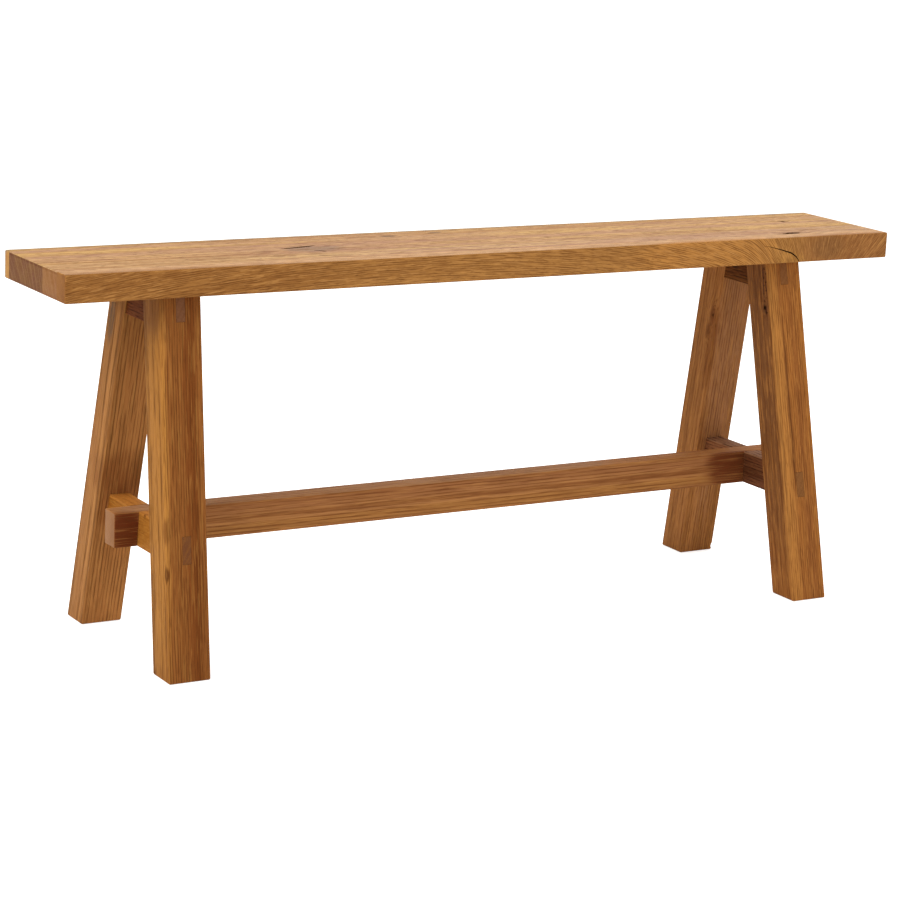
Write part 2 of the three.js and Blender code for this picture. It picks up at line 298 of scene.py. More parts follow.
print("round bars have", ROUND_SIDES, "sides")

# %% Faces and edges picked by their place, then moved, bevelled or cut
# Two heights count as the same when they are this near, in millimetres.
NEAR = 0.01


def pick(piece, kind, wanted):
    only(piece)
    bpy.ops.object.mode_set(mode="EDIT")
    bpy.ops.mesh.select_mode(type=kind)
    bpy.ops.mesh.select_all(action="DESELECT")
    mesh = bmesh.from_edit_mesh(piece.data)
    found = [e for e in (mesh.faces if kind == "FACE" else mesh.edges) if wanted(e)]
    for element in found:
        element.select_set(True)
    bmesh.update_edit_mesh(piece.data)
    return len(found)


def ease(piece, radius, steps, wanted):
    """Rounds the edges whose two ends, in millimetres, are wanted."""
    if pick(piece, "EDGE", lambda edge: wanted(*(v.co / MM for v in edge.verts))):
        bpy.ops.mesh.bevel(offset=radius * MM, segments=steps, affect="EDGES")
    bpy.ops.object.mode_set(mode="OBJECT")


def move_top(piece, step):
    top = max(v.co.z for v in piece.data.vertices)
    pick(piece, "FACE", lambda face: all(abs(v.co.z - top) < NEAR * MM for v in face.verts))
    bpy.ops.transform.translate(value=Vector(step) * MM)
    bpy.ops.object.mode_set(mode="OBJECT")


def trim(piece, point, facing):
    pick(piece, "FACE", lambda face: True)
    bpy.ops.mesh.bisect(plane_co=Vector(point) * MM, plane_no=facing, use_fill=True, clear_outer=True)
    bpy.ops.object.mode_set(mode="OBJECT")


print("places count as the same within", NEAR, "mm")

# %% Joints, and the finished piece
SMOOTH_BELOW = 35  # degrees between faces


def combine(piece, tool, how="DIFFERENCE", finishes="INDEX"):
    only(piece)
    cut = piece.modifiers.new("joint", "BOOLEAN")
    cut.object, cut.operation, cut.solver, cut.material_mode = tool, how, "EXACT", finishes
    bpy.ops.object.modifier_apply(modifier=cut.name)
    bpy.data.objects.remove(tool, do_unlink=True)
    return piece


def finish_piece(piece, finish, node_name):
    only(piece)
    bpy.ops.object.shade_smooth_by_angle(angle=math.radians(SMOOTH_BELOW))
    if not piece.data.materials:
        piece.data.materials.append(finish)
    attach(piece, "root")
    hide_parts(node_name)
    print(f"{piece.name}: {len(piece.data.vertices)} corners, {len(piece.data.polygons)} faces")


print("edges under", SMOOTH_BELOW, "degrees are shaded smooth")

# %% [markdown]
# ## Oiled oak
# Oak is a ring-porous wood: each year starts with a row of open pores, which show as fine dark dashes along the
# grain, and ends with dense, smooth wood. Satin oil deepens the colour and leaves a soft sheen.
# The grain is built as solid wood, so faces, edges and end grain agree. A Mapping node turns the bench's own
# coordinates into the board's: X along the grain, and Y and Z across it, all in millimetres. The rings are
# circles about a pith that lies outside the board. Noise stretched along the grain makes them wander, splits
# them into short dark lines as the saw does, and scatters the pores.

# %% Sizes of the grain, in millimetres
# The length and width of the slow bends of the grain, and of its quick ripples
WANDER_SIZE, RIPPLE_SIZE = (420.0, 60.0), (60.0, 9.0)
# The length and width of each layer's strokes, then the detail and roughness of its noise. Real pores are about
# 0.3 mm wide and fibres 0.05 mm, too fine to show, so both are drawn over 1 mm wide, about a pixel of the photo.
LAYERS = {
    "fibre": (20.0, 1.3, 2.0, 0.5),
    "glint": (18.0, 1.4, 2.0, 0.5),
    "pore": (8.0, 1.2, 1.0, 0.5),
    "fleck": (11.0, 5.0, 1.0, 0.5),
    "figure": (30.0, 7.0, 3.0, 0.6),
    "tone": (420.0, 13.0, 2.0, 0.5),
    "blush": (520.0, 24.0, 2.0, 0.5),
}
# Between these two values of its noise, a layer goes from none to all of its share. So do the rays of end grain.
FADES = {layer: {"From Min": low, "From Max": high} for layer, low, high in (
    ("fibre", 0.4, 0.56), ("glint", 0.52, 0.6), ("pore", 0.56, 0.7), ("fleck", 0.6, 0.66),
    ("figure", 0.52, 0.58), ("tone", 0.38, 0.62), ("blush", 0.46, 0.62), ("ray", 0.5, 0.58))}
SEED_STEP = 2.3
# What a board has unless it says otherwise. Its pith, tones and seed it always gives itself: where the pith lies
# across the board, the colours of pale wood, usual wood, dark lines and golden fibres, and a number for the noise.
USUAL_OAK = dict(
    ring_gap=3.6,  # from year to year
    wander=6.0, ripple=0.6,  # how far the grain bends slowly and quickly
    stroke=1.0,  # how many times longer the strokes are
    lines=0.6, fine=0.15, pores=0.35, flecks=0.0, figure=0.12,  # shares of the dark strokes
    glints=0.35,  # share of the golden fibres
    blush=("#000000", 0.0),  # a third tone in bands, and its share
    # the edges are paler partly from wear and partly as painted highlight, where rounded edges catch the light
    rubbed=0.2,  # how much paler the edges are
    end_tone="#7a5334", end_share=0.5,  # the sawn ends
    swirl=None,  # a function that leads the grain round a knot
)
print("layers of the grain", list(LAYERS))


# %% Grain laid along a board
def grain_place(centre, along, across):
    x = Vector(along).normalized()
    z = x.cross(Vector(across)).normalized()
    place = Matrix((x, z.cross(x), z)).transposed().to_4x4()
    place.translation = Vector(centre) * MM
    return place


def laid_grain(node, coordinates, place, oak):
    """The board's own millimetres, first straight and then with the bends of the grain."""
    plain = node("Mapping", {"Vector": coordinates.outputs["Object"], "Location": place.translation,
                             "Rotation": place.to_euler(), "Scale": (MM, MM, MM)}, vector_type="TEXTURE")
    grain = oak.swirl(node, plain) if oak.swirl else plain
    warped = grain
    for (length, width), reach in ((WANDER_SIZE, oak.wander), (RIPPLE_SIZE, oak.ripple)):
        squeezed = node("VectorMath", {0: grain, 1: (1 / length, 1 / width, 1 / width)}, operation="MULTIPLY")
        noise = node("TexNoise", {"Vector": squeezed, "W": oak.seed, "Scale": 1.0, "Detail": 2.0},
                     noise_dimensions="4D")
        centred = node("VectorMath", {0: noise.outputs["Color"], 1: (0.5, 0.5, 0.5)}, operation="SUBTRACT")
        warped = node("VectorMath", {0: centred, 1: (0, 2 * reach, 2 * reach), 2: warped},
                      operation="MULTIPLY_ADD")
    return plain, warped


def stroke_layers(node, warped, oak):
    """Fibres split the lines into strokes, glints are pale fibres, pores and flecks are dark, tone is broad."""
    layers = {}
    for number, (layer, (length, width, detail, coarse)) in enumerate(LAYERS.items()):
        scale = (1 / length / oak.stroke, 1 / width, 1 / width)
        squeezed = node("VectorMath", {0: warped, 1: scale}, operation="MULTIPLY")
        layers[layer] = node("TexNoise", {"Vector": squeezed, "W": oak.seed + SEED_STEP * (number + 1),
                                          "Scale": 1.0, "Detail": detail, "Roughness": coarse},
                             noise_dimensions="4D")
    return layers


print("the grain of a board along X lies as", grain_place((0, 0, 0), (1, 0, 0), (0, 1, 0)).to_euler())

# %% [markdown]
# A mark is an ellipsoid of another tone at a place on the bench: a knot, a stain or a band of paler wood. Its
# size is half its length along the grain, then half its width across the board and half its depth through it.
# The fibres make its rim ragged unless it is clean, and a mark that bends the grain pushes the rings aside.

# %% Year rings and marks
RAYS_PER_RADIAN = 36.0
# In half sizes of a mark: how far the fibres move its rim, where its rim ends, and where it is complete
RAGGED, MARK_OUTER, MARK_INNER = 0.9, 1.25, 0.6
# Years differ in width: noise moves them by up to this share of a year, and has this many waves in a year.
UNEVEN, UNEVEN_PER_YEAR = 0.8, 0.35
# A year is a wave from -1 to 1. Its dark line begins at 0 and is complete here.
LATEST_WOOD = 0.9


def mark(at, size, tone, share, **more):
    return {"at": at, "size": size, "tone": tone, "share": share, **more}


def round_the_pith(node, warped, oak):
    """The distance from the pith, and the pale rays that run out from it."""
    from_pith = node("VectorMath", {0: warped, 1: (0, *oak.pith)}, operation="SUBTRACT")
    across = node("VectorMath", {0: from_pith, 1: (0, 1, 1)}, operation="MULTIPLY")
    radius = node("VectorMath", {0: across}, operation="LENGTH")
    parts = node("SeparateXYZ", {"Vector": across})
    turn = node("Math", {0: parts.outputs["Y"], 1: parts.outputs["Z"]}, operation="ARCTAN2")
    turn = node("Math", {0: turn, 1: RAYS_PER_RADIAN}, operation="MULTIPLY")
    ray = node("TexNoise", {"W": turn, "Scale": 1.0, "Detail": 2.0}, noise_dimensions="1D")
    return radius, ray


def placed_marks(node, plain, place, marks, fibre, radius):
    """Each mark with the distance from its middle, and the radius of the rings that they push aside."""
    ragged = node("Math", {0: fibre, 1: RAGGED, 2: -RAGGED / 2}, operation="MULTIPLY_ADD")
    into_board = place.inverted()
    placed = []
    for spot in marks:
        centre = (into_board @ (Vector(spot["at"]) * MM)) / MM
        offset = node("VectorMath", {0: plain, 1: centre}, operation="SUBTRACT")
        scaled = node("VectorMath", {0: offset, 1: spot["size"]}, operation="DIVIDE")
        distance = node("VectorMath", {0: scaled}, operation="LENGTH")
        if spot.get("bend"):
            squared = node("Math", {0: distance, 1: distance}, operation="MULTIPLY")
            halved = node("Math", {0: squared, 1: -0.5}, operation="MULTIPLY")
            fading = node("Math", {0: halved}, operation="EXPONENT")
            radius = node("Math", {0: fading, 1: spot["bend"], 2: radius}, operation="MULTIPLY_ADD")
        if not spot.get("clean"):
            distance = node("Math", {0: distance, 1: ragged}, operation="ADD")
        placed.append((spot, distance))
    return placed, radius


def year_rings(node, radius, oak):
    years = node("Math", {0: radius, 1: oak.ring_gap}, operation="DIVIDE")
    slowly = node("Math", {0: years, 1: UNEVEN_PER_YEAR}, operation="MULTIPLY")
    uneven = node("TexNoise", {"W": slowly, "Scale": 1.0, "Detail": 1.0}, noise_dimensions="1D")
    phase = node("Math", {0: uneven, 1: UNEVEN, 2: years}, operation="MULTIPLY_ADD")
    angle = node("Math", {0: phase, 1: math.tau}, operation="MULTIPLY")
    wave = node("Math", {0: angle}, operation="COSINE")
    return node("MapRange", {"Value": wave, "From Min": 0.0, "From Max": LATEST_WOOD},
                interpolation_type="SMOOTHSTEP")


print("rays at", round(math.degrees(1 / RAYS_PER_RADIAN), 1), "degrees")

# %% Colours of a board
# How squarely a face looks along the grain where end grain begins, and where it is complete
END_FROM, END_TO = 0.8, 0.95
# The share of the strokes that end grain keeps, and the share of its pale rays
END_CONTRAST, RAY_SHARE = 0.16, 0.22


def facings(node, coordinates, place):
    """How squarely the surface looks along each of the board's three axes, from 0 to 1."""
    squareness = []
    for side in place.to_3x3().col:
        facing = node("VectorMath", {0: coordinates.outputs["Normal"], 1: side}, operation="DOT_PRODUCT")
        squareness.append(node("Math", {0: facing.outputs["Value"]}, operation="ABSOLUTE"))
    return squareness


def base_colour(node, layers, placed, oak):
    """Two tones in bands, a third in places, and the marks on top."""
    share = node("MapRange", {"Value": layers["tone"], **FADES["tone"]})
    colour = node("Mix", {"Factor": share, "A": oak.body, "B": oak.pale}, data_type="RGBA")
    bands = node("MapRange", {"Value": layers["blush"], **FADES["blush"], "To Max": oak.blush[1]})
    colour = node("Mix", {"Factor": bands, "A": colour, "B": linear(oak.blush[0])}, data_type="RGBA")
    for spot, distance in placed:
        outer, inner = spot.get("outer", MARK_OUTER), spot.get("inner", MARK_INNER)
        cover = node("MapRange", {"Value": distance, "From Min": outer, "From Max": inner,
                                  "To Max": spot["share"]}, interpolation_type="SMOOTHSTEP")
        colour = node("Mix", {"Factor": cover, "A": colour, "B": linear(spot["tone"])}, data_type="RGBA")
    return colour


def with_ends(node, colour, facing_end, ray, oak):
    """Sawn ends drink more oil, so they are darker, with pale rays and hardly any strokes."""
    facing = {"Value": facing_end, "From Min": END_FROM, "From Max": END_TO}
    cover = node("MapRange", {**facing, "To Max": oak.end_share})
    colour = node("Mix", {"Factor": cover, "A": colour, "B": linear(oak.end_tone)}, data_type="RGBA")
    ray_cover = node("MapRange", {"Value": ray, **FADES["ray"], "To Max": RAY_SHARE})
    ray_cover = node("Math", {0: ray_cover, 1: cover}, operation="MULTIPLY")
    colour = node("Mix", {"Factor": ray_cover, "A": colour, "B": oak.body}, data_type="RGBA")
    along_board = node("MapRange", {**facing, "To Min": 1.0, "To Max": END_CONTRAST})
    return colour, along_board


print("end grain keeps", END_CONTRAST, "of the strokes")

# %% Strokes of a board, and its edges, paler from wear and painted highlight
# An edge starts where the surface is this far from square to the board, and is all paler at the second value.
# The paler edges are partly wear and partly painted highlight, where the rounded edges catch the light.
PALE_EDGE_FROM, PALE_EDGE_TO = 0.12, 0.27


def strokes(node, layers, layer, share, along_board, blend="SMOOTHSTEP"):
    """How strongly a layer's strokes show: end grain has hardly any."""
    cover = node("MapRange", {"Value": layers[layer], **FADES[layer], "To Max": share}, interpolation_type=blend)
    return node("Math", {0: cover, 1: along_board}, operation="MULTIPLY")


def with_strokes(node, colour, layers, ring, along_board, oak):
    """Dark figure and flecks, golden fibres, the lines of the years, and the pores. The last two are grooves."""
    figure = strokes(node, layers, "figure", oak.figure, along_board)
    flecks = strokes(node, layers, "fleck", oak.flecks, along_board)
    glints = strokes(node, layers, "glint", oak.glints, along_board, "LINEAR")
    pores = strokes(node, layers, "pore", oak.pores, along_board)
    split = node("MapRange", {"Value": layers["fibre"], **FADES["fibre"]})
    lines = node("Math", {0: ring, 1: oak.lines, 2: oak.fine}, operation="MULTIPLY_ADD")
    lines = node("Math", {0: lines, 1: split}, operation="MULTIPLY", use_clamp=True)
    lines = node("Math", {0: lines, 1: along_board}, operation="MULTIPLY")
    for cover, tone in ((figure, oak.dark), (flecks, oak.dark), (glints, oak.golden), (lines, oak.dark),
                        (pores, oak.dark)):
        colour = node("Mix", {"Factor": cover, "A": colour, "B": tone}, data_type="RGBA")
    return colour, node("Math", {0: pores, 1: lines}, operation="ADD")


def with_worn_and_highlit_edges(node, colour, squareness, tone, oak):
    """Edges, where the surface faces between two sides, are painted paler: partly wear, partly painted highlight
    where a rounded edge catches the light. More so in pale bands.
    """
    flattest = node("Math", {0: squareness[0], 1: squareness[1]}, operation="MAXIMUM")
    flattest = node("Math", {0: flattest, 1: squareness[2]}, operation="MAXIMUM")
    edge = node("MapRange", {"Value": flattest, "From Min": 1 - PALE_EDGE_FROM, "From Max": 1 - PALE_EDGE_TO,
                             "To Max": oak.rubbed})
    edge = node("Math", {0: edge, 1: tone}, operation="MULTIPLY")
    # The tone is 0.5 on average, so doubling it keeps the average paleness of wear and painted highlight.
    edge = node("Math", {0: edge, 1: 2.0}, operation="MULTIPLY", use_clamp=True)
    return node("Mix", {"Factor": edge, "A": colour, "B": oak.golden}, data_type="RGBA")


print("edges are worn and highlit from", round(math.degrees(math.acos(1 - PALE_EDGE_FROM))), "degrees off square")

# %% Oiled oak finish of one board
# Oiled wood is usually about 0.5 rough. The bench shows hardly any highlight, only the soft sheen of oil that
# has sunk in, so its specular level is far below the usual 0.5, and open pores are duller than dense wood.
# The sheen of the seat top is painted into the pale tones of the seat boards instead, as painted sheen.
OIL_ROUGHNESS, OIL_ROUGHNESS_IN_PORES = 0.5, 0.65
OIL_SPECULAR = 0.015
PORE_DEPTH, PORE_RELIEF = 0.25, 0.5


def oiled_oak(name, place, marks=(), **board):
    oak = SimpleNamespace(**{**USUAL_OAK, **board})
    oak.pale, oak.body, oak.dark, oak.golden = (linear(tone) for tone in oak.tones)
    material = bpy.data.materials.new(name)
    node = emptied(material)
    coordinates = node("TexCoord")
    plain, warped = laid_grain(node, coordinates, place, oak)
    layers = stroke_layers(node, warped, oak)
    radius, ray = round_the_pith(node, warped, oak)
    placed, radius = placed_marks(node, plain, place, marks, layers["fibre"], radius)
    ring = year_rings(node, radius, oak)
    squareness = facings(node, coordinates, place)
    colour = base_colour(node, layers, placed, oak)
    colour, along_board = with_ends(node, colour, squareness[0], ray, oak)
    colour, depth = with_strokes(node, colour, layers, ring, along_board, oak)
    colour = with_worn_and_highlit_edges(node, colour, squareness, layers["tone"], oak)
    relief = node("Bump", {"Height": depth, "Strength": PORE_RELIEF, "Distance": PORE_DEPTH * MM}, invert=True)
    roughness = node("MapRange", {"Value": depth, "To Min": OIL_ROUGHNESS, "To Max": OIL_ROUGHNESS_IN_PORES})
    oil = node("BsdfPrincipled", {"Base Color": colour, "Roughness": roughness, "Normal": relief,
                                  "Specular IOR Level": OIL_SPECULAR})
    node("OutputMaterial", {"Surface": oil})
    print(name, "with", len(material.node_tree.nodes), "nodes and", len(marks), "marks")
    return material


print("oil roughness from", OIL_ROUGHNESS, "to", OIL_ROUGHNESS_IN_PORES)

# %% [markdown]
# ## Cracks and knots
# Oak splits as it dries, and a knot often loses its core. These are real hollows here, so they catch the light.
# A crack starts as a thin block at its first point, and one end is extruded from point to point, each time to a
# new width and depth. A knot hole starts as a sphere whose corners are shaken. Both are cut out with a Boolean
# that hands its own finish to the cut: torn wood, duller than the oiled face and painted dark as shade in the
# hollow.

# %% Torn oak, painted dark as shade, inside cracks and knot holes
# Torn fibres hold no oil and scatter the light, so the wood is dry and rough. It is painted nearly black: painted
# shade in the depth. Its fibres are about 3 mm long and 0.8 mm wide, coarser than real ones, which wouldn't show.
TORN_LENGTH, TORN_WIDTH = 3.0, 0.8
TORN_SHADE_DARK, TORN_SHADE_PALE, TORN_FADE = "#1d0f07", "#4a2a15", (0.35, 0.65)
TORN_ROUGHNESS, TORN_RELIEF = 0.85, 0.6


def torn_oak_with_painted_shade():
    material = bpy.data.materials.new("torn oak, painted dark as shade")
    node = emptied(material)
    where = node("TexCoord").outputs["Object"]
    scale = [1 / (size * MM) for size in (TORN_LENGTH, TORN_WIDTH, TORN_WIDTH)]
    where = node("VectorMath", {0: where, 1: scale}, operation="MULTIPLY")
    fibre = node("TexNoise", {"Vector": where, "Scale": 1.0, "Detail": 2.0})
    share = node("MapRange", {"Value": fibre, "From Min": TORN_FADE[0], "From Max": TORN_FADE[1]})
    colour = node("Mix", {"Factor": share, "A": linear(TORN_SHADE_DARK), "B": linear(TORN_SHADE_PALE)}, data_type="RGBA")
    relief = node("Bump", {"Height": fibre, "Strength": TORN_RELIEF, "Distance": PORE_DEPTH * MM})
    dry = node("BsdfPrincipled", {"Base Color": colour, "Roughness": TORN_ROUGHNESS, "Normal": relief,
                                  "Specular IOR Level": OIL_SPECULAR})
    node("OutputMaterial", {"Surface": dry})
    return material


TORN_WITH_PAINTED_SHADE = torn_oak_with_painted_shade()
print("finish inside cracks:", TORN_WITH_PAINTED_SHADE.name)

# %% Shapes of cracks and knot holes
# How far the tool for a crack stands out of the wood
PROUD = 1.0


def crack(points, widths, depths, into):
    into = Vector(into)
    across = Vector((0, 1, 0)) if abs(into.z) > 0.5 else Vector((0, 0, 1))
    inward = Vector([abs(c) for c in into])
    centres = [Vector(point) + into * (deep - PROUD) / 2 for point, deep in zip(points, depths)]
    half = across * widths[0] / 2 + inward * (depths[0] + PROUD) / 2 + Vector((PROUD / 10, 0, 0))
    tool = block("crack", centres[0] - half, centres[0] + half)
    pick(tool, "FACE", lambda face: face.normal.x > 0.9)
    for i in range(1, len(points)):
        step = (centres[i] - centres[i - 1]) * MM
        wider, deeper = widths[i] / widths[i - 1], (depths[i] + PROUD) / (depths[i - 1] + PROUD)
        scale = Vector((1, 1, 1)) + across * (wider - 1) + inward * (deeper - 1)
        bpy.ops.mesh.extrude_region_move(TRANSFORM_OT_translate={"value": step})
        bpy.ops.transform.resize(value=scale, center_override=centres[i] * MM)
    bpy.ops.object.mode_set(mode="OBJECT")
    return tool


def knot_hole(place, half_size, shake, seed):
    bpy.ops.object.select_all(action="DESELECT")
    bpy.ops.mesh.primitive_ico_sphere_add(subdivisions=3, radius=MM, location=Vector(place) * MM)
    bpy.context.object.scale = half_size
    tool = settle(bpy.context.object, "knot hole")
    pick(tool, "FACE", lambda face: True)
    bpy.ops.transform.vertex_random(offset=shake * MM, normal=0.5, seed=seed)
    bpy.ops.object.mode_set(mode="OBJECT")
    return tool


def carve(piece, finish, tool):
    if not piece.data.materials:
        piece.data.materials.append(finish)
    # The cut faces get the torn oak, painted dark as shade inside the hollow.
    tool.data.materials.append(TORN_WITH_PAINTED_SHADE)
    combine(piece, tool, finishes="TRANSFER")


print("a crack's tool stands", PROUD, "mm proud")

# %% [markdown]
# ## Seat
# The seat is one thick slab with its outer edges just broken by hand, and the glue lines run along it. The slab
# is modelled once, copied four times, and each copy is trimmed to its board, so the rounded edges run through.

# %% Seat slab and its four boards
SEAT_EDGE, SEAT_EDGE_STEPS = 2.0, 4
BOLT_Y = 10.0
INSERT_HOLE, INSERT_HOLE_DEPTH = 5.3, 18.4

slab = block("slab", (-SEAT_HALF_LENGTH, SEAT_FRONT, SEAT_UNDERSIDE), (SEAT_HALF_LENGTH, SEAT_BACK, SEAT_TOP))
ease(slab, SEAT_EDGE, SEAT_EDGE_STEPS, lambda a, b: True)

board_edges = [SEAT_FRONT - BEYOND, *SEAT_SEAMS, SEAT_BACK + BEYOND]
boards = {}
for name, front, back in zip((*SEAM_BOARDS, "seat_strip_back"), board_edges, board_edges[1:]):
    board = copied(slab, "oak_" + name)
    trim(board, (0, front, 0), (0, -1, 0))
    trim(board, (0, back, 0), (0, 1, 0))
    boards[name] = board
bpy.data.objects.remove(slab, do_unlink=True)

for side in (-1, 1):
    for y in (-BOLT_Y, BOLT_Y):
        hole = round_bar(INSERT_HOLE, SEAT_UNDERSIDE - BEYOND, SEAT_UNDERSIDE + INSERT_HOLE_DEPTH,
                         side * TRESTLE_TOP_X, y)
        combine(boards["seat_board_wide"], hole)
print("boards", {name: round(boards[name].dimensions.y / MM, 1) for name in boards})

# %% [markdown]
# The front of the seat has the bench's finest figure: lines that run in one gentle arch along the strip, and then
# fan out round a knot below its right-hand end. The two patterns are blended left of the knot, and both fade
# into straight grain a little way behind the face, because the top shows none of it.

# %% Grain that sweeps up round a knot in the front strip
SWIRL_CENTRE_X, SWIRL_CENTRE_BELOW = 462.0, 82.0
SWIRL_REACH = 140.0
SWIRL_BLEND = (50.0, 140.0)
SWIRL_CLIMB, SWIRL_FAR = 40.0, 1100.0
SWIRL_CREST, SWIRL_BOW = -100.0, 0.000185
SWIRL_DEPTH = (0.5, 3.0)


def front_swirl(node, grain):
    """Bends the board's millimetres, so that straight lines drawn with them arch and then fan out."""
    x, y, z = node("SeparateXYZ", {"Vector": grain}).outputs
    middle = (SEAT_TOP - SEAT_UNDERSIDE) / 2 + SWIRL_CENTRE_BELOW
    blend_at = sum(SWIRL_BLEND) / 2
    left_of = node("Math", {0: SWIRL_CENTRE_X, 1: x}, operation="SUBTRACT")
    right_of = node("Math", {0: x, 1: SWIRL_CENTRE_X}, operation="SUBTRACT")
    above = node("Math", {0: z, 1: middle}, operation="ADD")

    # The fan: lines run out from the knot, so they follow the angle round it and the distance from it.
    turn = node("Math", {0: right_of, 1: above}, operation="ARCTAN2")
    fan = node("Math", {0: turn, 1: SWIRL_REACH, 2: SWIRL_REACH * math.pi / 2}, operation="MULTIPLY_ADD")
    distance = node("VectorMath", {0: node("CombineXYZ", {"X": left_of, "Y": above})}, operation="LENGTH")
    ratio = node("Math", {0: distance, 1: math.hypot(blend_at, middle)}, operation="DIVIDE")
    inward = node("Math", {0: ratio, 1: math.e}, operation="LOGARITHM")
    run = node("Math", {0: inward, 1: -SWIRL_REACH, 2: SWIRL_CENTRE_X - blend_at}, operation="MULTIPLY_ADD")

    # The arch: nearly level lines that climb towards the knot and bow down away from the crest.
    near = node("Clamp", {"Value": left_of, "Min": SWIRL_BLEND[0], "Max": SWIRL_FAR})
    ratio = node("Math", {0: blend_at, 1: near}, operation="DIVIDE")
    level = node("Math", {0: ratio, 1: SWIRL_CLIMB, 2: above}, operation="MULTIPLY_ADD")
    from_crest = node("Math", {0: x, 1: SWIRL_CREST}, operation="SUBTRACT")
    squared = node("Math", {0: from_crest, 1: from_crest}, operation="MULTIPLY")
    level = node("Math", {0: squared, 1: SWIRL_BOW, 2: level}, operation="MULTIPLY_ADD")
    meet = SWIRL_REACH * math.atan2(middle, blend_at)
    bow_there = SWIRL_BOW * (SWIRL_CENTRE_X - blend_at - SWIRL_CREST) ** 2
    level = node("Math", {0: level, 1: meet - middle - bow_there - SWIRL_CLIMB}, operation="ADD")

    share = node("MapRange", {"Value": left_of, "From Min": SWIRL_BLEND[1], "From Max": SWIRL_BLEND[0]},
                 interpolation_type="SMOOTHSTEP")
    across = node("Mix", {"Factor": share, "A": level, "B": fan}, data_type="FLOAT")
    along = node("Mix", {"Factor": share, "A": x, "B": run}, data_type="FLOAT")
    swirled = node("CombineXYZ", {"X": along, "Y": y, "Z": across})
    face = (SEAT_FRONT - SEAT_SEAMS[0]) / 2
    inside = node("MapRange", {"Value": y, "From Min": face + SWIRL_DEPTH[0], "From Max": face + SWIRL_DEPTH[1]})
    return node("Mix", {"Factor": inside, "A": swirled, "B": grain}, data_type="VECTOR")


print("swirl about x", SWIRL_CENTRE_X)

# %% Oak of the seat boards
ALONG_SEAT, ACROSS_SEAT = (1, 0, 0), (0, 1, 0)
SEAT_MIDDLE = (SEAT_UNDERSIDE + SEAT_TOP) / 2
seat_oak = {
    "seat_strip_front": dict(
        pith=(-220, -220), tones=("#b37e43", "#a3703a", "#5c3318", "#c48d50"), seed=1.0, ring_gap=1.9, wander=4.0,
        ripple=1.0, lines=0.55, fine=0.2, figure=0.05, glints=0.45, end_tone="#7e5233", end_share=0.7, rubbed=0.0,
        swirl=front_swirl),
    # Pale, greyish tones of the boards behind the front strip: partly paler wood, partly painted sheen of the seat
    # top.
    "seat_board_narrow": dict(
        pith=(-90, -190), tones=("#caa271", "#af8257", "#6e482e", "#dbb680"), seed=2.0, blush=("#b48974", 0.6),
        figure=0.26, flecks=0.4, lines=0.45, end_tone="#815029", end_share=0.8),
    "seat_board_wide": dict(
        pith=(-110, -200), tones=("#cda264", "#ae8054", "#6d462d", "#ddb679"), seed=3.0, blush=("#b48872", 0.6),
        figure=0.28, flecks=0.4, lines=0.45, end_tone="#5d3520", end_share=0.85),
    "seat_strip_back": dict(
        pith=(60, -120), tones=("#cb9e5b", "#b2814d", "#6e4627", "#d6ac6e"), seed=4.0, figure=0.25, flecks=0.35,
        lines=0.5, end_tone="#a8723d"),
}
print("oaks of the seat", list(seat_oak))

# %% Marks on the seat
# A half size of ALL_ALONG makes a mark run from end to end of its board.
ALL_ALONG, ALL_ACROSS = 9000, 900
seat_marks = {
    "seat_strip_front": [
        # Partly paler wood, partly painted sheen: the top face of the front strip is painted paler than its front
        # face.
        mark((0, -78, 467.3), (ALL_ALONG, 80, 1.0), "#d4aa81", 0.88, clean=True, inner=0.4, outer=0.8),
        mark((-480, -90, 450), (260, 12, 40), "#7d4c22", 0.45),
        mark((295, -90, 450), (110, 12, 40), "#c68845", 0.6),
        mark((510, -90, 450), (80, 12, 40), "#9e663e", 0.5),
        mark((478, -90, 452), (26, 12, 16), "#7b5634", 0.5),
        mark((418, -90, 440), (22, 8, 9), "#b9833f", 0.5),
    ],
    "seat_board_wide": [
        mark((-222, -4, 467), (40, 18, 14), "#8b7262", 0.75),
        mark((-290, -8, 467), (16, 9, 8), "#835a40", 0.6),
        mark((-88, 57, 467), (12, 6, 6), "#6b5443", 0.85),
        mark((-17, 67, 467), (9, 5, 5), "#6b5443", 0.8),
        mark((492, 27, 467), (9, 7, 8), "#6b4429", 0.75, bend=6),
        mark((-575, 20, 434), (6, 70, 4), "#85594a", 0.7),
        # Painted shadow: a dark line on the sawn end, just under the rounded top edge.
        mark((-575, 40, 464.6), (3, ALL_ACROSS, 1.3), "#5c3a22", 0.6, clean=True),
    ],
    "seat_strip_back": [
        # Painted shade: a grey line along the rounded back edge of the top, and a grey strip down the back corner
        # of the left end, where the rounded edges turn away from the light.
        mark((0, 91, 467), (ALL_ALONG, 10, 5), "#94836c", 0.8),
        mark((-575, 91, 450), (8, 5, 60), "#6f6a55", 0.7),
    ],
    "seat_board_narrow": [
        # Partly paler wood, partly painted sheen: the pale band of the seat top goes on over the narrow board's
        # edge.
        mark((0, -78, 467), (ALL_ALONG, 4, 9), "#d4aa81", 0.4),
        mark((-287, -39, 467), (8, 5, 6), "#73482c", 0.7, bend=3),
        mark((-272, -43, 467), (6, 3, 5), "#73482c", 0.6),
        mark((442, -61, 467), (26, 12, 12), "#6f462b", 0.5, bend=8),
        mark((-575, -45, 434), (6, 40, 4), "#85594a", 0.7),
        # Painted shadow: a dark line on the sawn end, just under the rounded top edge.
        mark((-575, -50, 464.6), (3, ALL_ACROSS, 1.3), "#5c3a22", 0.6, clean=True),
    ],
}
print("marks on the seat", {name: len(marks) for name, marks in seat_marks.items()})

